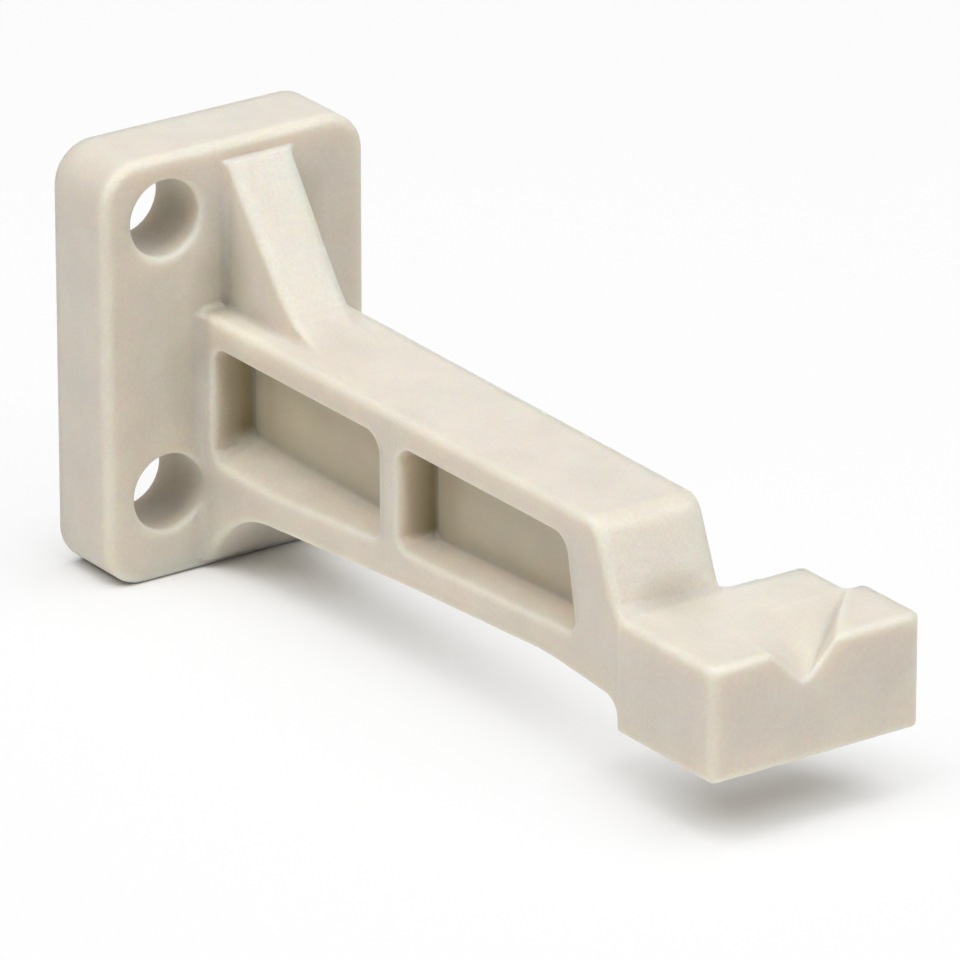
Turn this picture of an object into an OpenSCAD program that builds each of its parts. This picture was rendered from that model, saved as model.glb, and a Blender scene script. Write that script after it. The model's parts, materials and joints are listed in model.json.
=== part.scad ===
// Robot gripper finger, moulded in one piece: a mounting plate with two bolt holes, an I-section arm
// stiffened by a gusset, and a stepped tip block with a V notch in its end face.
// X runs along the arm, Y across it and Z up. The origin is the middle of the two bolt holes, on the
// plate's mounting face. The modules are drawn with y = 0 in the middle of the arm and z = 0 at the
// plate's foot, and finger() moves the whole of it to the origin.

/* [Plate] */
// Thickness of the mounting plate
plate_t = 10.5; // [8:0.5:16]
// Width of the mounting plate
plate_w = 34.5; // [32:0.5:46]
// Height of the mounting plate
plate_h = 50; // [50:0.5:64]
// Radius of the plate's outline corners
corner_r = 4.8; // [2:0.1:6]
// Rounding of the plate's front and back edges
plate_edge_r = 0.9; // [0.4:0.1:1.5]

/* [Bolt holes] */
// Diameter of the two bolt holes
bolt_d = 9; // [5:0.1:10]
// Distance between the two bolt holes
bolt_gap = 32.5; // [24:0.1:33]
// Distance from the plate's side to the line of the bolt holes
bolt_side = 8.1; // [7.5:0.1:9]
// Height of the lower bolt hole above the plate's foot
bolt_foot = 10.2; // [8:0.1:10.5]
// Rounding of the bolt holes' front lips
bolt_lip_r = 0.4; // [0.2:0.1:0.8]
// Chamfer of the bolt holes at the mounting face
bolt_lead = 0.5; // [0.2:0.1:1]

/* [Arm] */
// Distance from the plate's side to the middle of the arm
arm_side = 20.2; // [19:0.1:21]
// Width of the arm at the plate
arm_w = 15; // [13:0.1:18]
// Width of the arm at the tip
arm_end_w = 13.6; // [12:0.1:18]
// Height of the arm's top above the plate's foot
arm_top = 30.6; // [29:0.1:33]
// Height of the arm's underside where it leaves the sweep from the plate's foot
under_root = 8.4; // [7:0.1:9]
// Height of the arm's underside halfway along
under_mid = 11.1; // [10:0.1:11.4]
// Height of the arm's underside at its crown
under_crown = 12.4; // [12:0.1:13]
// Height of the arm's underside at the tip block
under_end = 11.3; // [10.8:0.1:11.8]
// Distance from the crown of the underside to the tip block
crown_reach = 13; // [10:0.5:18]
// Distance from the mounting face to the back of the tip block
tip_back = 88; // [84:0.5:110]
// Rounding of the arm's long edges
arm_edge_r = 0.7; // [0.4:0.1:1.6]
// Radius of the fillets between the arm's sides and the plate
root_fillet_r = 2.2; // [0.5:0.1:2.6]
// Distance the underside's sweep takes to climb from the plate's foot
sweep_reach = 4; // [3:0.1:5]
// Radius of the sweep from the plate's foot to the arm's underside
foot_sweep_r = 13.4; // [6:0.1:13.4]
// Radius of the fillet between the arm's underside and the tip block
tip_under_r = 3.2; // [1:0.1:4]

/* [Step] */
// Lean of the step's face from upright, in degrees
step_lean = 22.5; // [5:0.5:30]
// Rounding of the step's top edge
step_top_r = 2.6; // [1.2:0.1:4]
// Radius of the fillet at the step's base
step_base_r = 1.8; // [0.5:0.1:3]

/* [Pockets] */
// Thickness of the web between the pockets of the two sides
web_t = 4.2; // [2:0.1:6]
// Wall between the plate and the first pocket
pocket_root_wall = 1.8; // [1.5:0.1:4]
// Length of the first pocket
pocket_len = 32.1; // [24:0.1:34]
// Width of the rib between the two pockets of a side
pocket_rib = 3.3; // [1.5:0.1:6]
// Distance from the second pocket's lower corner to the tip block
pocket_end_wall = 7.3; // [7:0.1:12]
// Lean of the second pocket's end from upright, in degrees
pocket_lean = 10.8; // [0:0.1:18]
// Thickness of the arm above the pockets
pocket_roof = 3.4; // [2:0.1:5]
// Thickness of the arm under the pockets
pocket_floor = 4.1; // [2.5:0.1:5]
// Distance from the first pocket's root end to the lowest point of its floor
pocket_dip_reach = 11.7; // [8:0.1:16]
// Rise of the first pocket's floor from its lowest point to the root end
pocket_dip = 0.3; // [0.1:0.1:1]
// Rise of the first pocket's floor from its rim to the web, at the root end
pocket_ramp = 1.7; // [0.5:0.1:2.5]
// Rounding of the pockets' upper corners
pocket_r = 2.4; // [1.6:0.1:3]
// Rounding of the pockets' lower corners
pocket_foot_r = 1.6; // [1.6:0.1:3]
// Draft of the pockets' walls, from rim to web
pocket_draft = 0.4; // [0.1:0.1:0.8]
// Fillet between the pockets' walls and the web
pocket_web_r = 0.5; // [0.3:0.1:1.2]
// Rounding of the pockets' rims
pocket_rim_r = 0.3; // [0.2:0.1:0.8]

/* [Gusset] */
// Thickness of the gusset
gusset_t = 7.5; // [4:0.1:9]
// Distance from the plate's top to the gusset's top
gusset_drop = 1.6; // [1.6:0.1:8]
// Depth of the ledge at the gusset's top
gusset_ledge = 0.4; // [0.4:0.1:3]
// Reach of the gusset's face along the arm's top
gusset_reach = 14.8; // [10:0.1:20]
// Hollow of the gusset's face behind a straight line
gusset_bow = 0.5; // [0.1:0.1:1.5]
// Radius of the fillet where the gusset's face meets the arm's top
gusset_foot_r = 6; // [2:0.5:8]
// Rounding of the gusset's long edges
gusset_edge_r = 0.8; // [0.4:0.1:1.4]
// Radius of the small fillets beside the gusset and above the arm
gusset_side_r = 1; // [0.4:0.1:1.5]

/* [Tip block] */
// Length of the tip block
tip_len = 17.4; // [15:0.1:26]
// Width of the tip block at its end face
tip_w = 27.2; // [24:0.1:34]
// Depth of the jog in the tip block's far side
tip_jog = 2.5; // [2.5:0.1:5]
// Length of the wide pad in front of the jog
tip_pad_len = 9.1; // [7:0.1:12]
// Height of the tip block's top above the plate's foot
tip_top = 21.1; // [19:0.1:24]
// Height of the tip block's underside above the plate's foot
tip_foot = 8; // [6:0.1:9]
// Step from the arm's side to the tip block's side
tip_side_step = 0.2; // [0.1:0.1:2]
// Rounding of the tip block's upright edges
tip_upright_r = 0.9; // [0.4:0.1:1.2]
// Rounding of the tip block's top and bottom edges
tip_edge_r = 0.6; // [0.3:0.1:1]

/* [V notch] */
// Width of the notch at the end face
notch_w = 8.4; // [4:0.1:10]
// Included angle of the notch
notch_angle = 90; // [80:1:110]
// Distance from the tip block's near side to the middle of the notch
notch_side = 11.9; // [8:0.1:14]
// Drift of the notch's near edge from the end face to the jog
notch_drift = 0.8; // [0:0.1:2]
// Rounding at the bottom of the notch
notch_valley_r = 0.7; // [0.2:0.1:1.2]
// Rounding of the notch's upper edges
notch_crest_r = 0.9; // [0.4:0.1:1.2]

/* [Hidden] */
ivory = [0.86, 0.83, 0.77];
// Segments of a rounded corner, of an edge's rounding and of a bolt hole
arc_n = 5;
edge_n = 3;
bore_n = 64;
// How far a joined shape is sunk into its neighbour, and how far a cut stands clear of a face
sink = 0.05;
bury = 3;
clear = 1;
lift = 0.03;
sharp = 0.1;
bolt_mid_z = bolt_foot + bolt_gap / 2;
foot_rest_z = 1;
sweep_lead = 0.6;
mid_r = 150;
crown_r = 40;
dip_r = 20;
tip_end = tip_back + tip_len;
tip_near_y = -arm_end_w / 2 - tip_side_step;
tip_far_y = tip_near_y + tip_w;
jog_x = tip_end - tip_pad_len;
jog_y = tip_far_y - tip_jog;
step_x = tip_back - (arm_top - tip_top) * tan(step_lean);
pocket_top_z = arm_top - pocket_roof;
pocket_1_x = plate_t + pocket_root_wall;
pocket_2_x = pocket_1_x + pocket_len + pocket_rib;
pocket_end_x = tip_back - pocket_end_wall;
gusset_top_z = plate_h - gusset_drop;
gusset_foot_x = plate_t + gusset_reach;
notch_depth = notch_w / 2 / tan(notch_angle / 2);
notch_y = tip_near_y + notch_side;
notch_brim = 2;

// Unit vector from point a to point b
function toward(a, b) = (b - a) / norm(b - a);

// Rounded corner at b of an outline that runs a, b, c, as pairs of a point and its outward normal: the
// arc of radius r touches both sides, and the directions from its centre to its points turn evenly from
// one side's normal to the other's. The outline runs anticlockwise.
function corner(a, b, c, r, n) =
    let (
        back = toward(b, a),
        ahead = toward(b, c),
        half = acos(back * ahead) / 2,
        centre = b + toward([0, 0], back + ahead) * r / sin(half),
        turn = 180 - 2 * half,
        first = (b + back * r / tan(half) - centre) / r,
        last = (b + ahead * r / tan(half) - centre) / r,
        side = cross(b - a, c - b) > 0 ? 1 : -1
    )
    [for (k = [0:n])
        let (way = (first * sin(turn * (1 - k / n)) + last * sin(turn * k / n)) / sin(turn))
        [centre + way * r, way * side]];

// Outline through a list of corners, each [x, y, radius]
function outline(corners, n = arc_n) =
    let (m = len(corners), at = [for (c = corners) [c[0], c[1]]])
    [for (i = [0:m - 1]) each corner(at[(i + m - 1) % m], at[i], at[(i + 1) % m], corners[i][2], n)];

// Open line through a list of corners, with its two ends as they are
function line_through(corners, n = arc_n) =
    let (m = len(corners), at = [for (c = corners) [c[0], c[1]]])
    concat([at[0]],
        [for (i = [1:m - 2]) each [for (q = corner(at[i - 1], at[i], at[i + 1], corners[i][2], n)) q[0]]],
        [at[m - 1]]);

// The outline's points, moved inwards by d
function inset(line, d) = [for (q = line) q[0] - q[1] * d];

// Quarter round of radius r, as pairs of a depth below the face and an inset of the outline there
function quarter(r, n = edge_n) = [for (k = [0:n]) [r * (1 - cos(90 * k / n)), r * (1 - sin(90 * k / n))]];

// Layers of a slab from z0 to z1, both faces' edges rounded by r, as pairs of a height and an inset
function round_layers(z0, z1, r) =
    concat([for (q = quarter(r)) [z0 + q[0], q[1]]],
        [for (k = [edge_n:-1:0]) let (q = quarter(r)[k]) [z1 - q[0], q[1]]]);

// How far a fillet of radius r stands off its wall, at distance d from the floor it rises from
function fillet_off(r, d) =
    let (away = min(r, max(0, r - d)))
    r - sqrt(r * r - away * away);

// A list of numbers in rising order, leaving out those within 0.02 of the one before
function rising(v) =
    len(v) < 2 ? v :
    let (
        pivot = v[0],
        rest = [for (i = [1:len(v) - 1]) v[i]]
    )
    concat(rising([for (x = rest) if (x < pivot - 0.02) x]), [pivot],
        rising([for (x = rest) if (x > pivot + 0.02) x]));

// Closed skin over a list of rings with equal numbers of points, anticlockwise about the way they go
module skin(rings) {
    m = len(rings);
    n = len(rings[0]);
    walls = [for (i = [0:m - 2], j = [0:n - 1])
        let (k = (j + 1) % n)
        [i * n + j, (i + 1) * n + j, (i + 1) * n + k, i * n + k]];
    first = [for (j = [0:n - 1]) j];
    last = [for (j = [n - 1:-1:0]) (m - 1) * n + (j + 1) % n];
    polyhedron([for (ring = rings) each ring], concat([first], walls, [last]), convexity = 6);
}

// Half width of the arm at a distance x from the mounting face, without its root fillets
function arm_half(x) = (arm_w + (arm_end_w - arm_w) * (x - plate_t) / (tip_back - plate_t)) / 2;

// Side lines of the arm: its top with the step, and its underside from the sweep to the tip block
top_line = line_through([
    [plate_t + gusset_side_r, arm_top, sharp],
    [step_x, arm_top, step_top_r],
    [tip_back, tip_top - sink, step_base_r],
    [tip_back + bury, tip_top - sink, sharp]
]);
under_line = line_through([
    [plate_t + sweep_lead, foot_rest_z, sharp],
    [plate_t + sweep_reach, under_root, foot_sweep_r],
    [(plate_t + tip_back) / 2, under_mid, mid_r],
    [tip_back - crown_reach, under_crown, crown_r],
    [tip_back, under_end, tip_under_r],
    [tip_back + sink, under_end - tip_under_r - 1, sharp]
], 8);

// Heights of the arm's top and underside at a distance x from the mounting face
function top_z(x) = lookup(x, top_line) + fillet_off(gusset_side_r, x - plate_t);
function under_z(x) = max(lookup(x, under_line), x > tip_back - tip_under_r ? tip_foot + tip_edge_r : 0);

module plate() {
    y1 = plate_w - arm_side;
    line = outline([
        [-arm_side, 0, corner_r],
        [y1, 0, corner_r],
        [y1, plate_h, corner_r],
        [-arm_side, plate_h, corner_r]
    ], 8);
    skin([for (q = round_layers(0, plate_t, plate_edge_r))
        [for (p = inset(line, q[1])) [q[0], p[0], p[1]]]]);
}

module arm() {
    stations = rising(concat(
        [plate_t - bury, plate_t, tip_back + bury],
        [for (k = [1:arc_n]) plate_t + root_fillet_r * (1 - cos(90 * k / arc_n))],
        [for (p = top_line) p[0]],
        [for (p = under_line) if (p[0] < tip_back) p[0]]
    ));
    skin([for (x = stations)
        let (
            h = arm_half(x) + fillet_off(root_fillet_r, x - plate_t),
            z0 = under_z(x),
            z1 = top_z(x)
        )
        [for (p = inset(outline([
            [-h, z0, arm_edge_r],
            [h, z0, arm_edge_r],
            [h, z1, arm_edge_r],
            [-h, z1, arm_edge_r]
        ]), 0)) [x, p[0], p[1]]]]);
}

// Upright section of the gusset at one height, from inside the plate to its face at x: fillets of
// radius f to the plate, sides at half width h, and front edges rounded by r across and a along
function gusset_ring(x, h, f, r, a, z) =
    let (
        side = concat(
            [[plate_t - bury, h + f]],
            [for (k = [0:edge_n])
                let (t = 90 * k / edge_n)
                [plate_t - sink + f * (1 - cos(t)), h + f - f * sin(t)]],
            [for (k = [0:edge_n])
                let (t = 90 * k / edge_n)
                [x - a + a * sin(t), h - r + r * cos(t)]]
        ),
        n = len(side)
    )
    concat([[plate_t - bury, 0, z]], [for (p = side) [p[0], -p[1], z]],
        [for (k = [n - 1:-1:0]) [side[k][0], side[k][1], z]]);

module gusset() {
    a = [plate_t + gusset_ledge, gusset_top_z];
    b = [gusset_foot_x, arm_top];
    across = [b[1] - a[1], a[0] - b[0]] / norm(b - a);
    bow = [for (k = [1:5]) a + (b - a) * k / 6 + across * gusset_bow * 4 * (k / 6) * (1 - k / 6)];
    foot = corner(bow[4], b + across * gusset_bow / 3, b + [bury, 0], gusset_foot_r, 6);
    face = concat(
        [for (q = [for (k = [6:-1:0]) foot[k]]) q[0]],
        [for (k = [3:-1:0]) bow[k]],
        [a]
    );
    function ring(p, trim, z) =
        let (
            room = p[0] - trim - plate_t,
            slope = min(1, max(0.35, (p[1] - arm_top) / 6)),
            h = gusset_t / 2 + fillet_off(gusset_side_r, p[1] - arm_top)
        )
        gusset_ring(p[0] - trim, h, min(gusset_side_r, 0.3 * room), gusset_edge_r,
            min(gusset_edge_r / slope, 0.4 * room), z);
    lip = gusset_ledge / 2;
    skin(concat(
        [ring(face[0], 0, arm_top - bury)],
        [for (p = face) if (p[1] < gusset_top_z - lip) ring(p, 0, max(p[1], arm_top - sink))],
        [for (k = [edge_n:-1:0]) let (q = quarter(lip)[k]) ring(a, q[1], gusset_top_z - q[0])]
    ));
}

module tip() {
    line = outline([
        [tip_end, tip_near_y, tip_upright_r],
        [tip_end, tip_far_y, tip_upright_r],
        [jog_x, tip_far_y, tip_upright_r],
        [jog_x, jog_y, tip_upright_r],
        [tip_back, jog_y, tip_upright_r],
        [tip_back, tip_near_y, tip_upright_r]
    ]);
    skin([for (q = round_layers(tip_foot, tip_top, tip_edge_r))
        [for (p = inset(line, q[1])) [p[0], p[1], q[0]]]]);
}

// Height of a pocket's floor at its rim, at a distance x from the mounting face
function floor_z(x) = lookup(x, under_line) + pocket_floor;

// Corners of a pocket with its root end at x0 and its lower far corner at x1, where the far end leans
// back by lean degrees. At its root end the floor is raised by ramp, and a floor with a dip is lowest
// at pocket_dip_reach.
function pocket_corners(x0, x1, lean, dip, ramp) =
    let (
        z0 = floor_z(x0 + (dip > 0 ? pocket_dip_reach : 0)) + ramp,
        z1 = floor_z(x1)
    )
    concat(
        [[x0, z0 + dip, pocket_foot_r]],
        dip > 0 ? [[x0 + pocket_dip_reach, z0, dip_r]] : [],
        [
            [x1, z1, pocket_foot_r],
            [x1 - (pocket_top_z - z1) * tan(lean), pocket_top_z, pocket_r],
            [x0, pocket_top_z, pocket_r]
        ]
    );

// Cutter of one pocket on the far side: a flared rim, walls drawn in by the draft, and a fillet at the web
module pocket(x0, x1, lean = 0, dip = 0, ramp = 0) {
    rim = outline(pocket_corners(x0, x1, lean, dip, 0), 4);
    web = outline(pocket_corners(x0, x1, lean, dip, ramp), 4);
    wall = arm_half(x0) - web_t / 2;
    function at(share, off) =
        let (a = inset(rim, off + share * pocket_draft), b = inset(web, off + share * pocket_draft))
        [for (j = [0:len(a) - 1]) a[j] * (1 - share) + b[j] * share];
    skin(concat(
        [[for (p = at(0, -pocket_rim_r)) [p[0], arm_half(p[0]) + clear, p[1]]]],
        [for (q = quarter(pocket_rim_r))
            [for (p = at(0, -q[1])) [p[0], arm_half(p[0]) + lift - q[0], p[1]]]],
        [for (k = [edge_n:-1:0])
            let (q = quarter(pocket_web_r)[k], share = 1 - q[0] / wall)
            [for (p = at(share, q[1])) [p[0], web_t / 2 + q[0], p[1]]]]
    ));
}

module pockets() {
    pocket(pocket_1_x, pocket_1_x + pocket_len, 0, pocket_dip, pocket_ramp);
    pocket(pocket_2_x, pocket_end_x, pocket_lean);
}

// Section of the notch's cutter at a share t of the way from the end face to the jog, its flanks moved
// out by off: the valley runs across to the jog's corner as its depth runs out
function notch_ring(t, off, x) =
    let (
        half_a = notch_angle / 2,
        wide = off / cos(half_a),
        flat = tip_top + lift * (1 + 2 * t),
        near = notch_y - notch_w / 2 + notch_drift * t - wide,
        far = notch_y + notch_w / 2 + (jog_y + 10 * lift - notch_y - notch_w / 2) * t + wide,
        low_y = notch_y + (jog_y - notch_y) * t,
        low_z = tip_top - notch_depth * (1 - t) + lift * t - off / sin(half_a),
        crest = notch_crest_r * (1 - t) + sharp * t,
        line = outline([
            [near - notch_brim, tip_top + bury, sharp],
            [near - notch_brim, flat, sharp],
            [near, flat, crest],
            [low_y, low_z, notch_valley_r * (1 - t) + sharp * t + off],
            [far, flat, crest],
            [far + notch_brim, flat, sharp],
            [far + notch_brim, tip_top + bury, sharp]
        ], 4)
    )
    [for (p = inset(line, 0)) [x, p[0], p[1]]];

module notch() {
    lip = 0.9 * notch_crest_r;
    shares = [for (k = [10:-1:1]) (k + 0.5) / 10.5];
    skin(concat(
        [for (t = shares) notch_ring(t, 0, tip_end - t * tip_pad_len)],
        [for (k = [5:-1:1])
            let (q = quarter(lip, 5)[k])
            notch_ring(q[0] / tip_pad_len, q[1], tip_end - q[0])],
        [notch_ring(0, lip, tip_end + clear)]
    ));
}

// Cutter of one bolt hole along X: a plain bore, with a rounded lip at the plate's front and a chamfer
// at the mounting face
module bolt_hole() {
    bore_r = bolt_d / 2;
    lip = [for (q = quarter(bolt_lip_r)) [bore_r + q[1], q[0]]];
    core = bore_r / 2;
    translate([-clear, 0, 0])
        rotate([0, 90, 0])
            cylinder(h = plate_t + 2 * clear, d = bolt_d, $fn = bore_n);
    translate([plate_t, 0, 0])
        rotate([0, -90, 0])
            rotate_extrude($fn = bore_n)
                polygon(concat([[core, -clear], [lip[0][0], -clear]], lip, [[core, bolt_lip_r]]));
    rotate([0, 90, 0])
        rotate_extrude($fn = bore_n)
            polygon([
                [core, -clear],
                [bore_r + bolt_lead + clear, -clear],
                [bore_r, bolt_lead],
                [core, bolt_lead]
            ]);
}

module finger() {
    color(ivory)
    translate([0, arm_side - bolt_side, -bolt_mid_z])
        difference() {
            union() {
                plate();
                arm();
                gusset();
                tip();
            }
            pockets();
            mirror([0, 1, 0]) pockets();
            notch();
            for (z = [bolt_foot, bolt_foot + bolt_gap])
                translate([0, bolt_side - arm_side, z]) bolt_hole();
        }
}

finger();
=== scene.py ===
# %% [markdown]
# A robot gripper finger, moulded in one piece of cream plastic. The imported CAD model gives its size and
# place. It is a lesson in one idea: a moulded part is a few simple outlines, each carried along a
# straight line, which meet in rounds and hollows. A field of distances holds all of that in a few lines,
# and a net of small faces is then laid over the surface where the field is zero.

# %% Frame and box
import json
import math

import bpy
import numpy as np
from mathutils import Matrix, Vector


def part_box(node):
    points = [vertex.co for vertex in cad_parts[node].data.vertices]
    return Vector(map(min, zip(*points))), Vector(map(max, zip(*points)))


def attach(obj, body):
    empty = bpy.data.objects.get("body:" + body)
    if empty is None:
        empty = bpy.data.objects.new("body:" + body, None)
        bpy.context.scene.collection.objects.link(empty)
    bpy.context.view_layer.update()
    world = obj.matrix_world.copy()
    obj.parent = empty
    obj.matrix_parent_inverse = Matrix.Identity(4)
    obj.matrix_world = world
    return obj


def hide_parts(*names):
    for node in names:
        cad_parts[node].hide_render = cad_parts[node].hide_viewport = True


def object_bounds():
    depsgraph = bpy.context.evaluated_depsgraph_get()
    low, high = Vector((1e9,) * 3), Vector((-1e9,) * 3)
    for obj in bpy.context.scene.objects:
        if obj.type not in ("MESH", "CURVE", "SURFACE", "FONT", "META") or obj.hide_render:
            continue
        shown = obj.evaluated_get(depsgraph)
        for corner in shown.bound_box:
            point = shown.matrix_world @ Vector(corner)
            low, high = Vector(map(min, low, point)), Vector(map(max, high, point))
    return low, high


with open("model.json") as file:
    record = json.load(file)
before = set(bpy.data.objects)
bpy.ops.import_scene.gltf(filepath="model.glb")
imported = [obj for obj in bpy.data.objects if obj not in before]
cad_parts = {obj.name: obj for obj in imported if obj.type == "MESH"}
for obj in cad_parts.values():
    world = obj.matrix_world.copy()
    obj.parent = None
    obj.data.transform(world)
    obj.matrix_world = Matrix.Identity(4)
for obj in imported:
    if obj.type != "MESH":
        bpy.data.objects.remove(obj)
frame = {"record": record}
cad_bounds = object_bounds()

MM = 0.001
low, high = (np.array(corner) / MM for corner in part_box("finger"))
print("CAD box in mm:", low.round(2), "to", high.round(2))

# %% [markdown]
# All the shapes are worked out in millimetres, in a place that suits the drawing: x runs from the
# mounting face to the tip, y is 0 in the middle of the arm, and z is 0 at the plate's foot. The box of
# the CAD part ties that place to the frame.

# %% Sizes in millimetres
# The mounting plate and its bolt holes. ARM_SIDE and BOLT_SIDE run from the plate's near edge to the
# middle of the arm and to the holes, and BOLT_FOOT from the plate's foot up to the lower hole.
PLATE_T = 10.5
PLATE_W = 34.5
PLATE_CORNER_R = 4.8
PLATE_EDGE_R = 0.9
ARM_SIDE = 20.2
BOLT_SIDE = 8.1
BOLT_FOOT = 10.2
BOLT_R = 4.5
BOLT_LIP_R = 0.4
BOLT_LEAD = 1.6
BOLT_LEAD_R = 0.1

# The arm narrows towards the tip block, whose back is TIP_BACK from the mounting face.
ARM_W = 15.0
ARM_END_W = 13.6
ARM_TOP = 30.6
ARM_EDGE_R = 0.7
TIP_BACK = 88.0
SIDE_FILLET_R = 1.0

# The tip block. TIP_PAD is the length of its wider front part, and TIP_JOG how far that part stands out.
TIP_TOP = 21.1
TIP_FOOT = 8.0
TIP_NEAR = -7.0
TIP_PAD = 9.9
TIP_JOG = 2.5
TIP_EDGE_R = 0.6
TIP_UPRIGHT_R = 0.9

plate_h = high[2] - low[2]
tip_end = high[0] - low[0]
tip_far = high[1] - low[1] - ARM_SIDE
bolt_gap = frame["record"]["mounts"][0]["dims"]["spacing_y_mm"]
drawing_origin = np.array([low[0], low[1] + ARM_SIDE, low[2]])
print(f"plate {plate_h:.1f} mm tall, finger {tip_end:.1f} mm long, tip reaches y = {tip_far:.1f} mm")

# %% [markdown]
# An outline is a closed line with a round at each corner. Its signed distance is how far a point lies
# from the line, counted negative inside. With that one function every flat shape of the finger can be
# used as a field.

# %% Outlines and their distance
def rounded_outline(corners, segments=8):
    """Closed outline through corners (u, v, r), as an array of points.

    A corner of radius r > 0 becomes an arc that touches both of its sides: its centre lies on the
    line that halves the corner, r / sin(half the corner's angle) away from it."""
    points = []
    for i, (u, v, r) in enumerate(corners):
        corner = np.array([u, v], float)
        if r == 0:
            points.append(corner[None])
            continue
        back = np.array(corners[i - 1][:2], float) - corner
        ahead = np.array(corners[(i + 1) % len(corners)][:2], float) - corner
        back /= np.linalg.norm(back)
        ahead /= np.linalg.norm(ahead)
        half = math.acos(np.clip(back @ ahead, -1, 1)) / 2
        centre = corner + (back + ahead) / np.linalg.norm(back + ahead) * r / math.sin(half)
        first = corner + back * r / math.tan(half) - centre
        last = corner + ahead * r / math.tan(half) - centre
        turn = math.pi - 2 * half
        t = np.linspace(0, 1, segments + 1)[:, None]
        points.append(centre + (first * np.sin(turn * (1 - t)) + last * np.sin(turn * t)) / math.sin(turn))
    return np.vstack(points)


def outline_distance(u, v, outline):
    """Signed distance of the points (u, v) from a closed outline, negative inside.

    It is the least distance to any side. A point is inside when a ray from it crosses the outline an
    odd number of times."""
    u, v = np.broadcast_arrays(u, v)
    nearest = np.full(u.shape, np.inf)
    odd = np.zeros(u.shape, bool)
    for a, b in zip(outline, np.roll(outline, -1, axis=0)):
        du, dv = b - a
        wu, wv = u - a[0], v - a[1]
        along = np.clip((wu * du + wv * dv) / (du * du + dv * dv), 0, 1)
        nearest = np.minimum(nearest, (wu - along * du) ** 2 + (wv - along * dv) ** 2)
        if dv != 0:
            odd ^= ((a[1] <= v) != (b[1] <= v)) & (u < a[0] + (v - a[1]) / dv * du)
    return np.where(odd, -1, 1) * np.sqrt(nearest)


# %% [markdown]
# Where two shapes meet, the mould leaves a round edge or a hollow fillet. The usual way to join two
# fields is to take the larger or the smaller of them, which gives a sharp edge. Here the two distances
# are treated as the sides of a right-angled corner, and the corner's last bit becomes a quarter circle.

# %% Rounded joints
def both(a, b, r):
    """Where both shapes are, with their common edge rounded by r: a quarter circle of radius r."""
    a, b = a + r, b + r
    return np.minimum(np.maximum(a, b), 0) + np.hypot(np.maximum(a, 0), np.maximum(b, 0)) - r


def either(a, b, r):
    """Where either shape is, with a hollow fillet of radius r between them."""
    return -both(-a, -b, r)


def smooth_step(value, first, last):
    """0 up to first and 1 from last on, and t * t * (3 - 2 t) between them."""
    t = np.clip((value - first) / (last - first), 0, 1)
    return t * t * (3 - 2 * t)


# %% [markdown]
# The outlines. The arm and the near half of the tip block share one side view, so the fillets at the
# step's base and under the tip are corners of one line. Seen from above, the same body is a tapering
# strip that flares out into the plate.

# %% Outlines of the arm
STEP_LEAN = math.radians(22.5)
STEP_TOP_R = 2.6
STEP_BASE_R = 1.8
ROOT_FILLET_R = 1.5

# The lower line of the arm leaves the plate at UNDER_START, swings out below the haunch and runs on,
# nearly straight, to the heel behind the tip block. The haunch is measured from the plate and the rise
# from the tip block's back.
UNDER_START, UNDER_LIP = 1.0, 0.6
HAUNCH_X, HAUNCH_Z, HAUNCH_R = 4.0, 8.4, 13.4
BELLY_X, BELLY_Z, BELLY_R = 49.2, 11.1, 150.0
RISE_X, RISE_Z, RISE_R = 13.0, 12.4, 40.0
HEEL_Z, HEEL_R = 11.3, 2.6

# The shoulder is where the tip block stands out a little from the arm's near side. An outline also
# runs on into the plate and past it, where other pieces cover its ends.
SHOULDER_X, SHOULDER_R, SHOULDER_HOLLOW_R = 0.5, 0.5, 0.3
BURIED = 2.0
PAST_TOP = 4.0
FLARE_Y = 12.0

step_x = TIP_BACK - (ARM_TOP - TIP_TOP) * math.tan(STEP_LEAN)
side_view = rounded_outline([
    (PLATE_T - BURIED, UNDER_START, 0),
    (PLATE_T + UNDER_LIP, UNDER_START, 0),
    (PLATE_T + HAUNCH_X, HAUNCH_Z, HAUNCH_R),
    (BELLY_X, BELLY_Z, BELLY_R),
    (TIP_BACK - RISE_X, RISE_Z, RISE_R),
    (TIP_BACK, HEEL_Z, HEEL_R),
    (TIP_BACK, TIP_FOOT, TIP_EDGE_R),
    (tip_end + BURIED, TIP_FOOT, 0),
    (tip_end + BURIED, TIP_TOP, 0),
    (TIP_BACK, TIP_TOP, STEP_BASE_R),
    (step_x, ARM_TOP, STEP_TOP_R),
    (PLATE_T, ARM_TOP, SIDE_FILLET_R),
    (PLATE_T, ARM_TOP + PAST_TOP, 0),
    (PLATE_T - BURIED, ARM_TOP + PAST_TOP, 0),
])
top_view = rounded_outline([
    (PLATE_T - BURIED, -FLARE_Y, 0),
    (PLATE_T, -FLARE_Y, 0),
    (PLATE_T, -ARM_W / 2, ROOT_FILLET_R),
    (TIP_BACK, -ARM_END_W / 2, SHOULDER_HOLLOW_R),
    (TIP_BACK + SHOULDER_X, TIP_NEAR, SHOULDER_R),
    (tip_end, TIP_NEAR, TIP_UPRIGHT_R),
    (tip_end, ARM_END_W / 2, 0),
    (TIP_BACK, ARM_END_W / 2, 0),
    (PLATE_T, ARM_W / 2, ROOT_FILLET_R),
    (PLATE_T, FLARE_Y, 0),
    (PLATE_T - BURIED, FLARE_Y, 0),
])
print("sides in the side view:", len(side_view))

# %% [markdown]
# The tip block reaches further to the far side than the arm, and its front part, the pad, further still.
# That part is one outline seen from above. A second one fills the corner between the block's back and
# the arm with a fillet like the one at the step's base.

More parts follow.
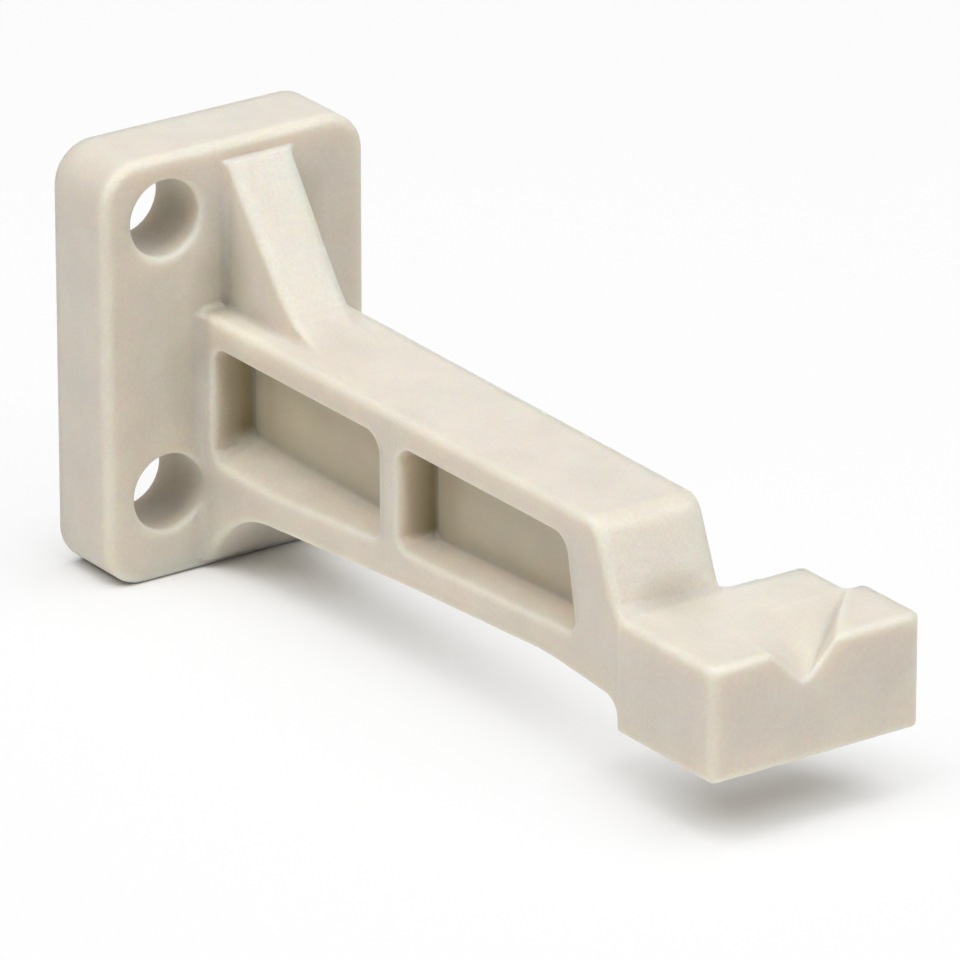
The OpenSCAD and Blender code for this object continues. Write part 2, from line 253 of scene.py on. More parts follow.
# %% Outlines of the tip block
BLOCK_NEAR = -3.0
BLOCK_FILLET_X, BLOCK_FILLET_Y = 4.0, 5.0
BLOCK_FILLET_EDGE_R = 0.3
LAP_X, LAP_Y = 1.0, 0.5

jog_x = tip_end - TIP_PAD
jog_y = tip_far - TIP_JOG
arm_far = ARM_END_W / 2
block_view = rounded_outline([
    (TIP_BACK, BLOCK_NEAR, 0),
    (tip_end, BLOCK_NEAR, 0),
    (tip_end, tip_far, TIP_UPRIGHT_R),
    (jog_x, tip_far, TIP_UPRIGHT_R),
    (jog_x, jog_y, TIP_UPRIGHT_R),
    (TIP_BACK, jog_y, TIP_UPRIGHT_R),
])
block_fillet = rounded_outline([
    (TIP_BACK - BLOCK_FILLET_X, arm_far - LAP_Y, 0),
    (TIP_BACK + LAP_X, arm_far - LAP_Y, 0),
    (TIP_BACK + LAP_X, arm_far + BLOCK_FILLET_Y, 0),
    (TIP_BACK, arm_far + BLOCK_FILLET_Y, 0),
    (TIP_BACK, arm_far, STEP_BASE_R),
    (TIP_BACK - BLOCK_FILLET_X, arm_far, 0),
])
print(f"the jog is {jog_x:.1f} mm from the mounting face, the block's back {TIP_BACK:.1f} mm")

# %% [markdown]
# The gusset stiffens the corner between plate and arm. From the side, its face is a slightly hollow
# curve that runs out along the arm's top in a wide fillet. Two strips give it its thickness, one with a
# small fillet where it leaves the plate and one where it leaves the arm.

# %% Outlines of the gusset
GUSSET_T = 8.4
GUSSET_DRAFT = 0.035
GUSSET_TOP = 48.0
GUSSET_LEDGE = 0.4
GUSSET_TOP_R = 1.2
GUSSET_EDGE_R = 0.45
GUSSET_REACH, GUSSET_FOOT_R = 13.8, 11.0
GUSSET_BOW_X, GUSSET_BOW_Z, GUSSET_BOW_R = 7.0, 39.3, 60.0
GUSSET_RUN = 22.0
STRIP_BEYOND, STRIP_RUN, STRIP_FLARE = -9.0, 60.0, 3.0

gusset_side = rounded_outline([
    (PLATE_T - BURIED, ARM_TOP - BURIED, 0),
    (PLATE_T + GUSSET_RUN, ARM_TOP - BURIED, 0),
    (PLATE_T + GUSSET_RUN, ARM_TOP, 0),
    (PLATE_T + GUSSET_REACH, ARM_TOP, GUSSET_FOOT_R),
    (PLATE_T + GUSSET_BOW_X, GUSSET_BOW_Z, GUSSET_BOW_R),
    (PLATE_T + GUSSET_LEDGE, GUSSET_TOP, GUSSET_TOP_R),
    (PLATE_T - 2 * BURIED, GUSSET_TOP, 0),
])


def flared_strip(wall, half, r):
    """Outline of a strip of the given half width that leaves a wall with a fillet of radius r.

    The first coordinate runs away from the wall and the second across the strip. The side beyond the
    strip's middle is far enough away never to be the nearest one."""
    return rounded_outline([
        (wall - BURIED, STRIP_BEYOND, 0),
        (wall + STRIP_RUN, STRIP_BEYOND, 0),
        (wall + STRIP_RUN, half, 0),
        (wall, half, r),
        (wall, half + STRIP_FLARE, 0),
        (wall - BURIED, half + STRIP_FLARE, 0),
    ])


gusset_from_plate = flared_strip(PLATE_T, GUSSET_T / 2, SIDE_FILLET_R)
gusset_from_arm = flared_strip(ARM_TOP, GUSSET_T / 2, SIDE_FILLET_R)
print(f"the gusset is {GUSSET_TOP - ARM_TOP:.1f} mm tall and {GUSSET_REACH:.1f} mm long")

# %% [markdown]
# Two pockets a side lighten the arm and leave a thin web between them. The floor of the pocket next to
# the plate dips near the root, and it ramps up towards the web, so that pocket has a larger outline at
# its rim and a smaller one at the web.

# %% Outlines of the pockets
WEB_T = 4.2
RAIL_T = 3.4
POCKET_TOP = ARM_TOP - RAIL_T
POCKET_RIM_R = 0.3
POCKET_WEB_R = 0.5
POCKET_FOOT_R = 1.6
POCKET_ROOT_R, POCKET_TIP_R = 2.2, 2.4
POCKET_DRAFT = 0.4
POCKET_RAMP = 1.7
ROOT_POCKET_START, ROOT_POCKET_END = 12.3, 44.4
ROOT_POCKET_FOOT, ROOT_POCKET_END_FOOT = 13.5, 14.9
DIP_X, DIP_FOOT, DIP_R = 24.0, 13.2, 20.0
TIP_POCKET_START, TIP_POCKET_END, TIP_POCKET_LEAN = 47.7, 80.7, 2.0
TIP_POCKET_FOOT, TIP_POCKET_END_FOOT = 15.0, 16.5


def root_pocket(ramp):
    """Outline of the pocket next to the plate, with its floor raised by the ramp on the root's side."""
    return rounded_outline([
        (ROOT_POCKET_START, ROOT_POCKET_FOOT + ramp, POCKET_FOOT_R),
        (DIP_X, DIP_FOOT + ramp, DIP_R),
        (ROOT_POCKET_END, ROOT_POCKET_END_FOOT, POCKET_FOOT_R),
        (ROOT_POCKET_END, POCKET_TOP, POCKET_TIP_R),
        (ROOT_POCKET_START, POCKET_TOP, POCKET_ROOT_R),
    ])


root_pocket_rim = root_pocket(0)
root_pocket_web = root_pocket(POCKET_RAMP)
tip_pocket_rim = rounded_outline([
    (TIP_POCKET_START, TIP_POCKET_FOOT, POCKET_FOOT_R),
    (TIP_POCKET_END, TIP_POCKET_END_FOOT, POCKET_FOOT_R),
    (TIP_POCKET_END - TIP_POCKET_LEAN, POCKET_TOP, POCKET_TIP_R),
    (TIP_POCKET_START, POCKET_TOP, POCKET_ROOT_R),
])
print(f"the rib between the pockets is {TIP_POCKET_START - ROOT_POCKET_END:.1f} mm wide")

# %% [markdown]
# The field itself. It takes arrays of x, y and z that numpy spreads against each other, so a flat
# outline is only worked out on a flat grid, and the whole block costs little.

# %% Fields of the plate, the arm, the gusset and the pockets
POCKET_MOUTH = -0.2


def plate_field(x, y, z):
    """A rounded rectangle, PLATE_T thick, whose long edges are rounded too."""
    half_w = PLATE_W / 2
    across = np.abs(y + ARM_SIDE - half_w) - (half_w - PLATE_CORNER_R)
    up = np.abs(z - plate_h / 2) - (plate_h / 2 - PLATE_CORNER_R)
    face = np.hypot(np.maximum(across, 0), np.maximum(up, 0)) + np.minimum(np.maximum(across, up), 0)
    return both(face - PLATE_CORNER_R, np.abs(x - PLATE_T / 2) - PLATE_T / 2, PLATE_EDGE_R)


def arm_field(x, y, z):
    """The arm and the near half of the tip block: side view and top view together, then the rest of
    the tip block and the fillet between its back and the arm."""
    side = outline_distance(x, z, side_view)
    spine = both(side, outline_distance(x, y, top_view), ARM_EDGE_R)
    slab = np.abs(z - (TIP_TOP + TIP_FOOT) / 2) - (TIP_TOP - TIP_FOOT) / 2
    block = both(outline_distance(x, y, block_view), slab, TIP_EDGE_R)
    under = np.maximum(side, z - TIP_TOP)
    fillet = both(outline_distance(x, y, block_fillet), under, BLOCK_FILLET_EDGE_R)
    return np.minimum(np.minimum(spine, block), fillet)


def gusset_field(x, y, z):
    """The gusset: its side view, as thick as a strip with fillets to the plate and to the arm. Its
    sides close by the draft as they leave the plate."""
    across = np.abs(y) + GUSSET_DRAFT * (x - PLATE_T)
    strip = np.minimum(outline_distance(x, across, gusset_from_plate),
                       outline_distance(z, across, gusset_from_arm))
    return both(outline_distance(x, z, gusset_side), strip, GUSSET_EDGE_R)


def pocket_field(x, y, z):
    """The hollow of the pockets on both sides. Going in, from rim to web, the depth grows from 0 to 1,
    the walls close by the draft, and the first pocket's outline turns into its smaller one. The walls
    carry on outside the rim, down to a depth of POCKET_MOUTH."""
    taper = (ARM_END_W - ARM_W) / 2 / (TIP_BACK - PLATE_T)
    half = ARM_W / 2 + taper * (x - PLATE_T)
    depth = np.clip((half - np.abs(y)) / (half - WEB_T / 2), POCKET_MOUTH, 1)
    rim = outline_distance(x, z, root_pocket_rim)
    web = outline_distance(x, z, root_pocket_web)
    hollow = np.minimum(rim + (web - rim) * depth, outline_distance(x, z, tip_pocket_rim))
    return both(hollow + POCKET_DRAFT * depth, WEB_T / 2 - np.abs(y), POCKET_WEB_R)


# %% [markdown]
# The V notch in the end face holds a workpiece across the tip. It can't be one outline carried along a
# straight line, because its valley gets shallower and runs across to the jog's corner. It is made of two
# flanks, each a field of its own. NOTCH_SIDE runs from the tip's near side to the valley at the end face.

# %% The notch
NOTCH_W = 8.4
NOTCH_SIDE = 11.9
NOTCH_DRIFT = 0.8
NOTCH_CREST_R = 0.9
NOTCH_VALLEY_R = 0.8
RUN_OUT = (-0.3, 1.1)
ROUND_SHARE, LEAST_ROUND = 0.6, 0.02
FRONT_ZONE = (2.5 * TIP_EDGE_R, 0.5 * TIP_EDGE_R)
CREST_ZONE = (0.3, 1.2)


def notch_cut(x, y, z, body):
    """The V notch. Its near edge runs straight back, and its valley runs across to the jog's corner
    while the depth runs out, so the near flank is a twisted surface and the far one is flat.

    A rounding of radius R between faces that turn by an angle a starts at a depth of R (1 - cos a)
    below each of them, which is what both() and either() take. No rounding takes more than a share of
    the depth that is left, and at the end face the crests take the rounding of the block's edges."""
    t = np.clip((tip_end - x) / TIP_PAD, *RUN_OUT)
    depth = NOTCH_W / 2 * (1 - t)
    middle = TIP_NEAR + NOTCH_SIDE
    valley_y = middle + (jog_y - middle) * t
    near_y = middle - NOTCH_W / 2 + NOTCH_DRIFT * t
    near_slope = -depth / (valley_y - near_y)
    near_cos = 1 / np.hypot(1, near_slope)
    far_cos = math.sqrt(0.5)
    near = (z - TIP_TOP - near_slope * (y - near_y)) * near_cos
    far = (z - (TIP_TOP - depth) - (y - valley_y)) * far_cos
    shallow = np.maximum(ROUND_SHARE * depth, LEAST_ROUND)
    valley = either(near, far, np.minimum(NOTCH_VALLEY_R, shallow))
    below = np.minimum(valley, x - jog_x)
    crest_cos = np.where(y < valley_y, near_cos, far_cos)
    crest_r = NOTCH_CREST_R * (1 - crest_cos)
    front = smooth_step(x, tip_end - FRONT_ZONE[0], tip_end - FRONT_ZONE[1])
    front = front * smooth_step(TIP_TOP - z, *CREST_ZONE)
    crest_r = crest_r + (TIP_EDGE_R - crest_r) * front
    return both(body, below, np.minimum(crest_r, shallow))


# %% [markdown]
# Last, the pieces come together. The least of the three fields joins plate, arm and gusset, which is
# enough, because their fillets are already in their outlines. Then the pockets, the notch and the bolt
# holes are taken away.

# %% The finger's field
def body_field(x, y, z):
    """Plate, arm and gusset together, without the hollows."""
    return np.minimum(np.minimum(plate_field(x, y, z), arm_field(x, y, z)), gusset_field(x, y, z))


def finger_field(x, y, z):
    """Signed distance of the whole finger, in millimetres: its body, less the pockets, the notch and
    the two bolt holes, each with a rounded lip in front and a cone of 45 degrees behind."""
    body = both(body_field(x, y, z), -pocket_field(x, y, z), POCKET_RIM_R)
    body = notch_cut(x, y, z, body)
    for bolt_z in (BOLT_FOOT, BOLT_FOOT + bolt_gap):
        beside = np.hypot(y + ARM_SIDE - BOLT_SIDE, z - bolt_z)
        body = both(body, BOLT_R - beside, BOLT_LIP_R)
        body = both(body, (BOLT_R + BOLT_LEAD - x - beside) * math.sqrt(0.5), BOLT_LEAD_R)
    return body


# %% [markdown]
# A surface net turns the field into faces. The field is sampled on a block of small cells. Each cell
# that the surface passes through gets one vertex, at the middle of the points where the surface cuts the
# cell's edges, and each cut edge gets one face, which joins the four cells around it.

# %% Surface net
def surface_net(field, start, step):
    """Vertices and four-sided faces of the surface where a block of field values is zero."""
    inside = field < 0
    corner_count = sum(
        inside[i:i - 1 or None, j:j - 1 or None, k:k - 1 or None].astype(np.int8)
        for i in (0, 1) for j in (0, 1) for k in (0, 1)
    )
    cells = np.argwhere((corner_count > 0) & (corner_count < 8))
    values = np.stack([field[tuple((cells + (i, j, k)).T)] for i in (0, 1) for j in (0, 1) for k in (0, 1)])
    offsets = np.array([(i, j, k) for i in (0, 1) for j in (0, 1) for k in (0, 1)], float)
    total = np.zeros((len(cells), 3))
    count = np.zeros(len(cells))
    for a in range(8):
        for b in range(a + 1, 8):
            if abs(offsets[a] - offsets[b]).sum() != 1:
                continue
            cut = (values[a] < 0) != (values[b] < 0)
            share = np.where(cut, values[a] / np.where(cut, values[a] - values[b], 1), 0)
            total += np.where(cut[:, None], offsets[a] + share[:, None] * (offsets[b] - offsets[a]), 0)
            count += cut
    points = start + (cells + total / count[:, None]) * step

    number = np.full(corner_count.shape, -1)
    number[tuple(cells.T)] = np.arange(len(cells))
    faces = []
    for axis in range(3):
        u, v = (axis + 1) % 3, (axis + 2) % 3
        first = np.take(inside, range(inside.shape[axis] - 1), axis)
        second = np.take(inside, range(1, inside.shape[axis]), axis)
        for way in (True, False):
            edge = np.argwhere((first == way) & (second != way))
            ring = []
            for du, dv in ((-1, -1), (0, -1), (0, 0), (-1, 0)):
                around = edge.copy()
                around[:, u] += du
                around[:, v] += dv
                ring.append(number[tuple(around.T)])
            faces.append(np.stack(ring if way else ring[::-1], axis=1))
    return points, np.vstack(faces)


def settled(points, rounds=2, nudge=0.01):
    """The points, moved along the field's slope until they lie on the surface.

    The slope comes from four samples at the corners of a tiny tetrahedron."""
    corners = np.array([(1, -1, -1), (-1, -1, 1), (-1, 1, -1), (1, 1, 1)], float)
    slope = sum(corner * finger_field(*(points + nudge * corner).T)[:, None] for corner in corners)
    slope /= np.linalg.norm(slope, axis=1)[:, None]
    for _ in range(rounds):
        points = points - finger_field(*points.T)[:, None] * slope
    return points, slope


CELL = 0.27
MARGIN_CELLS = 1.5
MOST_TRIANGLES = 190_000

margin = MARGIN_CELLS * CELL
start = np.array([-margin, -ARM_SIDE - margin, -margin])
size = np.array([tip_end, tip_far + ARM_SIDE, plate_h]) + 2 * margin
grid = [start[i] + CELL * np.arange(int(size[i] / CELL) + 1) for i in range(3)]
block = finger_field(grid[0][:, None, None], grid[1][None, :, None], grid[2][None, None, :])
points, faces = surface_net(block, start, CELL)
points, slope = settled(points, rounds=1)
print(f"net of {CELL} mm cells: {len(points)} points, {len(faces)} faces")

# %% [markdown]
# The net has the same small faces on a flat side as on a tight edge. Decimate takes points away where
# the surface is flat, and leaves them where it bends. The points that stay are laid on the surface once
# more, and the shading takes its directions from the field itself, so flat sides look flat.

# %% Mesh of the finger
def new_object(name, mesh):
    """Puts a mesh into the scene as an object at the origin."""
    obj = bpy.data.objects.new(name, mesh)
    bpy.context.scene.collection.objects.link(obj)
    return obj


mesh = bpy.data.meshes.new("finger_surface")
mesh.from_pydata(((points + drawing_origin) * MM).tolist(), [], faces.tolist())
finger = new_object("finger_surface", mesh)
if 2 * len(faces) > MOST_TRIANGLES:
    thin = finger.modifiers.new("thin_out_flat_sides", "DECIMATE")
    thin.ratio = MOST_TRIANGLES / (2 * len(faces))
    finger.data = bpy.data.meshes.new_from_object(finger.evaluated_get(bpy.context.evaluated_depsgraph_get()))
    finger.modifiers.clear()
mesh = finger.data
mesh.name = "finger_surface"

flat = np.empty(3 * len(mesh.vertices))
mesh.vertices.foreach_get("co", flat)
points, slope = settled(flat.reshape(-1, 3) / MM - drawing_origin)
points = np.clip(points, [0, -ARM_SIDE, 0], [tip_end, tip_far, plate_h])
mesh.vertices.foreach_set("co", ((points + drawing_origin) * MM).ravel())
mesh.update()
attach(finger, "root")
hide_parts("finger")
print(f"mesh: {len(mesh.vertices)} points, {len(mesh.polygons)} faces")

# %% [markdown]
# Light soaks a millimetre or two into cream plastic, so its outer edges look softer than they are. There
# the shading takes its directions from the field sampled a little way off. In inner corners it keeps
# the true direction, because those look crisp.

# %% Soft outer edges
SOFT_REACH = 1.6
SOFT_FULL = 0.15
NOTCH_CRISPNESS = 0.75
NOTCH_CLOSE, NOTCH_AWAY = 0.2, 1.5
NOTCH_FADE = 1.0


def wide_slope(points, reach):
    """Direction in which the field grows, from its values at a reach to both sides along each axis."""
    slope = np.stack([finger_field(*(points + reach * axis).T) - finger_field(*(points - reach * axis).T)
                      for axis in np.eye(3)], axis=1)
    return slope / np.linalg.norm(slope, axis=1)[:, None]


def edge_share(points, slope, reach):
    """Mean of the field on a ring of six points at the given radius around each point, divided by the
    radius: above zero on an outer edge, zero on a flat side and below zero in an inner corner."""
    side = np.cross(slope, np.where(np.abs(slope[:, :1]) < 0.7, [[1.0, 0, 0]], [[0, 1.0, 0]]))
    side /= np.linalg.norm(side, axis=1)[:, None]
    up = np.cross(slope, side)
    turns = np.arange(6) * math.pi / 3
    ring = [finger_field(*(points + reach * (math.cos(a) * side + math.sin(a) * up)).T) for a in turns]
    return np.mean(ring, axis=0) / reach


def notch_share(x, y, z):
    """1 in and around the notch, whose edges are crisper than the others, and 0 away from it."""
    aside = np.abs(y - TIP_NEAR - NOTCH_SIDE) - NOTCH_W / 2
    foot = TIP_TOP - (NOTCH_W / 2 + NOTCH_AWAY)
    return (1 - smooth_step(aside, NOTCH_CLOSE, NOTCH_AWAY)) * smooth_step(z, foot, foot + NOTCH_FADE) \
        * smooth_step(x, jog_x - NOTCH_FADE, jog_x)


softness = smooth_step(edge_share(points, slope, SOFT_REACH), 0.0, SOFT_FULL)
softness *= 1 - NOTCH_CRISPNESS * notch_share(*points.T)
shade = slope + (wide_slope(points, SOFT_REACH) - slope) * softness[:, None]
shade /= np.linalg.norm(shade, axis=1)[:, None]
mesh.shade_smooth()
mesh.normals_split_custom_set_from_vertices(shade.tolist())
print(f"points with softened shading: {(softness > 0).sum()} of {len(softness)}")

# %% [markdown]
# Four numbers at each point tell the material where it paints light and shade: how sharp an outer edge
# is, which places a painted highlight; how tight an inner corner is, and how deep the point lies below the
# skin that the part would have without its hollows, which both place painted shade; and whether it is on
# one of the two sloping faces, which have a rougher grain and a paler colour that is a painted sheen.
# Floors that face up count as open and get no painted shade, and the pocket walls that face the tip count
# as corners, with painted shade, because the brightest light never falls on them.

# %% Edges and hollows
EDGE_REACH = 0.8
CORNER_REACH = 6.0
CORNER_WEIGHT = 1.3
DEEP = 5.0
FACES_TIP, FACES_UP, FACES_LEVEL = (0.2, 0.8), (0.1, 0.35), (0.6, 0.98)


def store(mesh, name, values):
    """Keeps one number for each point of the mesh, for its material to read."""
    mesh.attributes.new(name, "FLOAT", "POINT").data.foreach_set("value", values.astype(np.float32))


# Sharp outer edges get a painted highlight, a paler colour in the material.
edge = edge_share(points, slope, EDGE_REACH)
# Painted shade: points deep below the skin get a darker colour, except floors that face up.
hollow = np.clip(-body_field(*points.T) / DEEP, 0, 1) * (1 - np.clip(slope[:, 2], 0, 1))
# Painted shade: inner corners and pocket walls that face the tip get a dark, warm colour.
corner = hollow * np.clip(slope[:, 0], 0, 1) - CORNER_WEIGHT * edge_share(points, slope, CORNER_REACH)
corner = np.clip(corner, 0, 1)
# The sloping faces get a painted sheen, a paler colour, and a rougher grain.
sloping = smooth_step(slope[:, 0], *FACES_TIP) * smooth_step(slope[:, 2], *FACES_UP) \
    * (1 - smooth_step(slope[:, 2], *FACES_LEVEL))
store(mesh, "sloping", sloping)
store(mesh, "edge", edge)
store(mesh, "corner", corner)
store(mesh, "hollow", hollow)
print("largest edge, corner and hollow:", [float(share.max().round(2)) for share in (edge, corner, hollow)])

# %% [markdown]
# The plastic is a cream polyurethane, cast in a mould with a fine matt texture. Light goes a little way
# into it. Its colour also carries painted light: outer edges are paler, a painted highlight, the two
# sloping faces are paler, a painted sheen, and deep hollows and inner corners are darker and warmer,
# which is painted shade. Its skin has only a soft gleam, broken by the mould's grain, which is stronger
# on the two sloping faces. A real grain is finer than the one here, which is as coarse as it needs to be
# to show in the picture.

# %% Colours and nodes
def linear(hex_colour):
    """Linear colour of an sRGB hex value, with a fourth channel of 1: each channel c is c / 12.92
    below 0.04045, and ((c + 0.055) / 1.055) to the power 2.4 above it."""
    channels = [int(hex_colour[i:i + 2], 16) / 255 for i in (1, 3, 5)]
    return [c / 12.92 if c <= 0.04045 else ((c + 0.055) / 1.055) ** 2.4 for c in channels] + [1.0]


def add_node(tree, kind, links=None, **settings):
    """Adds a node of a kind, sets its inputs and properties by name, and links sockets to inputs."""
    node = tree.nodes.new(kind)
    for name, value in settings.items():
        if hasattr(node, name):
            setattr(node, name, value)
        else:
            node.inputs[name.replace("_", " ")].default_value = value
    for name, socket in (links or {}).items():
        tree.links.new(socket, node.inputs[name])
    return node


# Next to the plastic's own colour, one paler colour is a painted sheen on the sloping faces and another a
# painted highlight on outer edges; the two darker ones are painted shade in hollows and inner corners.
SKIN, SLOPE_SHEEN_SKIN, EDGE_HIGHLIGHT_SKIN = "#e8e1d4", "#f5efe4", "#f2eadb"
HOLLOW_SHADE_SKIN, CORNER_SHADE_SKIN = "#dad1ba", "#9c8a66"
GRAIN_SIZE = 0.4 * MM
GRAIN_DEPTH = 0.2 * MM
CLOUD_SIZE = 6 * MM
# Edge shares over which the painted edge highlight fades in.
HIGHLIGHT_FROM, HIGHLIGHT_TO = 0.03, 0.35
DARK_TONE, PALE_TONE = 0.95, 1.05
GLOSSIEST, DULLEST = 0.35, 0.5
PLAIN_GRIP, ROUGH_GRIP = 0.3, 1.0
PLASTIC_IOR = 1.5
SOAK_DEPTH = 4 * MM
SOAK_BY_COLOUR = (1.0, 0.6, 0.35)


def cream_polyurethane():
    """Cast polyurethane from a lightly textured mould, grained all over by noise that lives in the finger's
    own coordinates. Its colour carries painted light: a painted highlight on outer edges, a painted sheen on
    the sloping faces, and painted shade, darker and warmer, in hollows and inner corners."""
    material = bpy.data.materials.new("cream_cast_polyurethane")
    material.use_nodes = True
    tree = material.node_tree
    place = add_node(tree, "ShaderNodeTexCoord").outputs["Object"]
    grain = add_node(tree, "ShaderNodeTexNoise", {"Vector": place}, Scale=1 / GRAIN_SIZE, Detail=3.0,
                     Roughness=0.6).outputs["Fac"]
    cloud = add_node(tree, "ShaderNodeTexNoise", {"Vector": place}, Scale=1 / CLOUD_SIZE,
                     Detail=2.0).outputs["Fac"]
    edge = add_node(tree, "ShaderNodeAttribute", attribute_name="edge").outputs["Fac"]
    corner = add_node(tree, "ShaderNodeAttribute", attribute_name="corner").outputs["Fac"]
    hollow = add_node(tree, "ShaderNodeAttribute", attribute_name="hollow").outputs["Fac"]
    sloping = add_node(tree, "ShaderNodeAttribute", attribute_name="sloping").outputs["Fac"]

    # Painted highlight: the colour turns paler on outer edges.
    edge_highlight = add_node(tree, "ShaderNodeMapRange", {"Value": edge}, From_Min=HIGHLIGHT_FROM, From_Max=HIGHLIGHT_TO)
    # Painted sheen: the sloping faces are paler.
    faces = add_node(tree, "ShaderNodeMixRGB", {"Fac": sloping}, Color1=linear(SKIN),
                     Color2=linear(SLOPE_SHEEN_SKIN))
    skin = add_node(tree, "ShaderNodeMixRGB", {"Fac": edge_highlight.outputs[0], "Color1": faces.outputs[0]},
                    Color2=linear(EDGE_HIGHLIGHT_SKIN))
    # Painted shade: deep hollows are darker.
    deep = add_node(tree, "ShaderNodeMixRGB", {"Fac": hollow, "Color1": skin.outputs[0]},
                    Color2=linear(HOLLOW_SHADE_SKIN))
    # Painted shade: inner corners are dark and warm.
    warm = add_node(tree, "ShaderNodeMixRGB", {"Fac": corner, "Color1": deep.outputs[0]},
                    Color2=linear(CORNER_SHADE_SKIN))
    patches = add_node(tree, "ShaderNodeMath", {0: grain, 1: cloud}, operation="ADD")
    tone = add_node(tree, "ShaderNodeMapRange", {"Value": patches.outputs[0]}, From_Min=0.7, From_Max=1.3,
                    To_Min=DARK_TONE, To_Max=PALE_TONE)
    mottled = add_node(tree, "ShaderNodeHueSaturation", {"Color": warm.outputs[0], "Value": tone.outputs[0]})
    gleam = add_node(tree, "ShaderNodeMapRange", {"Value": grain}, From_Min=0.3, From_Max=0.7,
                     To_Min=GLOSSIEST, To_Max=DULLEST)
    grip = add_node(tree, "ShaderNodeMapRange", {"Value": sloping}, To_Min=PLAIN_GRIP, To_Max=ROUGH_GRIP)
    bump = add_node(tree, "ShaderNodeBump", {"Height": grain, "Strength": grip.outputs[0]},
                    Distance=GRAIN_DEPTH)

    shader = tree.nodes["Principled BSDF"]
    shader.inputs["IOR"].default_value = PLASTIC_IOR
    shader.inputs["Subsurface Weight"].default_value = 1.0
    shader.inputs["Subsurface Radius"].default_value = SOAK_BY_COLOUR
    shader.inputs["Subsurface Scale"].default_value = SOAK_DEPTH
    tree.links.new(mottled.outputs[0], shader.inputs["Base Color"])
    tree.links.new(gleam.outputs[0], shader.inputs["Roughness"])
    tree.links.new(bump.outputs[0], shader.inputs["Normal"])
    return material


finger.data.materials.append(cream_polyurethane())
print("nodes in the plastic:", len(finger.data.materials[0].node_tree.nodes))

# %% [markdown]
# The studio: a pale floor at the height of the plate's foot, and a white background that only the
# camera and mirrors see. Two broad soft lamps light the part, one from above, leaning towards the
# tip, and one from high on the left.

# %% Lamps
# Each lamp has its direction as seen from the finger, its width in metres and its level.
LIT_POINT = Vector((0.05, 0.018, -0.005))
LAMP_DISTANCE = 1.2
LAMPS = {
    "ceiling_softbox": ((0.35, 0.15, 1.0), 1.4, 0.91),
    "high_left_softbox": ((0.0, -1.0, 1.73), 0.8, 0.46),
}


def soft_lamp(name, direction, width, level):
    """A square area lamp turned towards the finger. Its power is level * pi^2 * distance^2, so a
    small lamp would make a white card at the finger, turned to it, as bright as the level says."""
    lamp = bpy.data.lights.new(name, "AREA")
    lamp.size = width
    lamp.energy = level * math.pi ** 2 * LAMP_DISTANCE ** 2
    obj = bpy.data.objects.new(name, lamp)
    obj.location = LIT_POINT + Vector(direction).normalized() * LAMP_DISTANCE
    obj.rotation_euler = Vector(direction).to_track_quat("Z", "Y").to_euler()
    bpy.context.scene.collection.objects.link(obj)


for name, (direction, width, level) in LAMPS.items():
    soft_lamp(name, direction, width, level)
print("lamps:", ", ".join(LAMPS))

# %% [markdown]
# White paper under the finger would look grey next to a white background, so to the camera it shines
# a little by itself. Where the finger is close above the paper and closes off its sky, it shines less,
# which leaves a soft contact shadow.

# %% Floor and background
FLOOR_REACH = 3.0
SHINE, SHINE_IN_SHADE = 0.84, 0.0
SKY_REACH = 13 * MM
DARKEST_SKY = 0.3


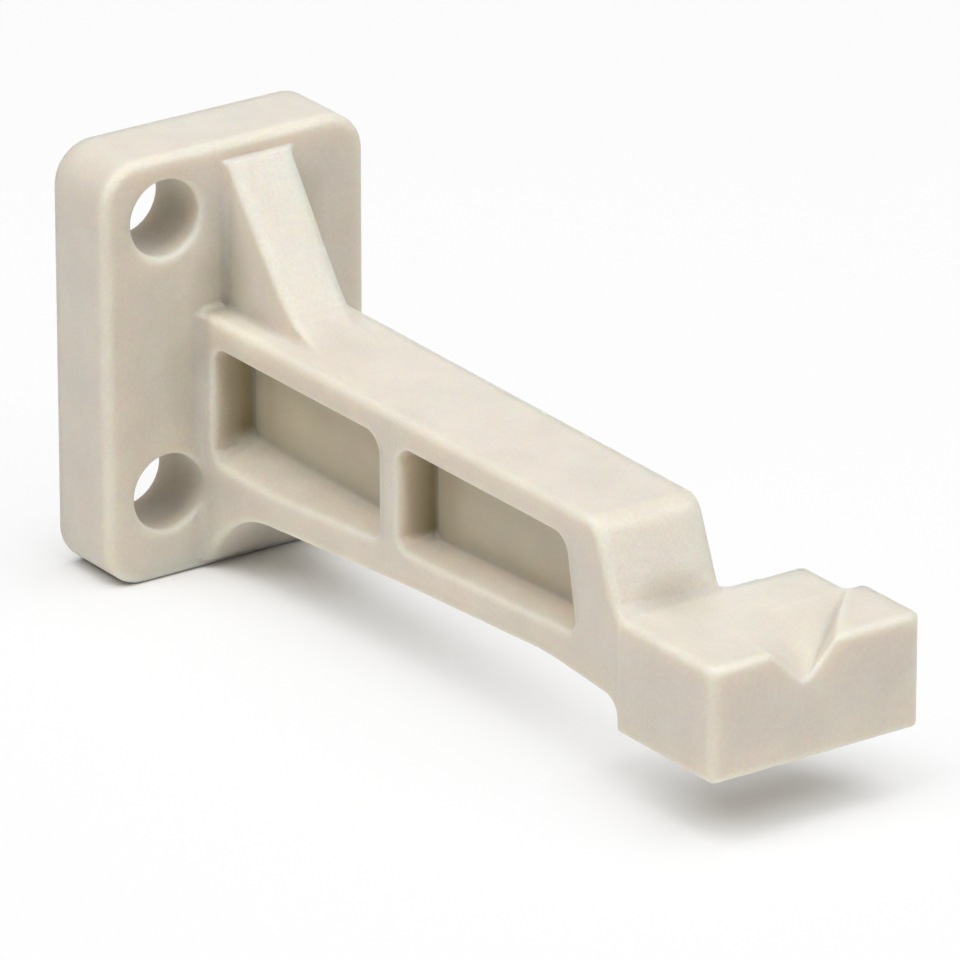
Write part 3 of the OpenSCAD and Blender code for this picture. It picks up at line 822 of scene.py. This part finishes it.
def white_paper():
    """Matt white paper. To the camera, a share of it shines by itself, which keeps the background
    white and the shadow pale. The share falls where the finger closes off the paper's sky."""
    material = bpy.data.materials.new("white_backdrop_paper")
    material.use_nodes = True
    tree = material.node_tree
    tree.nodes.clear()
    path = add_node(tree, "ShaderNodeLightPath")
    sky = add_node(tree, "ShaderNodeAmbientOcclusion", Distance=SKY_REACH)
    shine = add_node(tree, "ShaderNodeMapRange", {"Value": sky.outputs["AO"]}, From_Min=DARKEST_SKY,
                     To_Min=SHINE_IN_SHADE, To_Max=SHINE)
    share = add_node(tree, "ShaderNodeMath", {0: path.outputs["Is Camera Ray"], 1: shine.outputs[0]},
                     operation="MULTIPLY")
    lit = add_node(tree, "ShaderNodeBsdfDiffuse", Color=linear("#ffffff"))
    white = add_node(tree, "ShaderNodeEmission", Color=linear("#ffffff"), Strength=1.0)
    mix = add_node(tree, "ShaderNodeMixShader", {0: share.outputs[0], 1: lit.outputs[0],
                                                 2: white.outputs[0]})
    add_node(tree, "ShaderNodeOutputMaterial", {"Surface": mix.outputs[0]})
    return material


floor_z = cad_bounds[0][2]
floor_mesh = bpy.data.meshes.new("floor")
floor_mesh.from_pydata([(-FLOOR_REACH, -FLOOR_REACH, floor_z), (FLOOR_REACH, -FLOOR_REACH, floor_z),
                        (FLOOR_REACH, FLOOR_REACH, floor_z), (-FLOOR_REACH, FLOOR_REACH, floor_z)],
                       [], [(0, 1, 2, 3)])
floor_mesh.materials.append(white_paper())
new_object("floor", floor_mesh)

world = bpy.data.worlds.new("studio")
bpy.context.scene.world = world
world.use_nodes = True
tree = world.node_tree
tree.nodes.clear()
path = add_node(tree, "ShaderNodeLightPath")
seen = add_node(tree, "ShaderNodeMath", {0: path.outputs["Is Camera Ray"], 1: path.outputs["Is Glossy Ray"]},
                operation="MAXIMUM")
backdrop = add_node(tree, "ShaderNodeBackground", {"Strength": seen.outputs[0]}, Color=linear("#ffffff"))
add_node(tree, "ShaderNodeOutputWorld", {"Surface": backdrop.outputs[0]})

# %% [markdown]
# The camera stands far off with a long lens, as a catalogue picture is taken. Its direction, distance
# and focal length were fitted to the plate's corners, the step and the tip block in the photograph.

# %% Camera
AZIMUTH = math.radians(-35.05)
ELEVATION = math.radians(22.53)
CAMERA_DISTANCE = 1.15088
LENS = 395.97
LOOK_AT = np.array([45.0, 5.804, 19.136])

look_at = Vector(((LOOK_AT + drawing_origin) * MM).tolist())
towards = Vector((math.cos(ELEVATION) * math.cos(AZIMUTH), math.cos(ELEVATION) * math.sin(AZIMUTH),
                  math.sin(ELEVATION)))
camera_data = bpy.data.cameras.new("camera")
camera_data.lens = LENS
camera_data.sensor_width = 36
camera_data.clip_start = 0.01
camera = bpy.data.objects.new("camera", camera_data)
camera.location = look_at + towards * CAMERA_DISTANCE
camera.rotation_euler = (-towards).to_track_quat("-Z", "Y").to_euler()
bpy.context.scene.collection.objects.link(camera)
bpy.context.scene.camera = camera
bpy.context.scene.view_settings.view_transform = "Standard"
print("camera at", [round(c, 3) for c in camera.location])
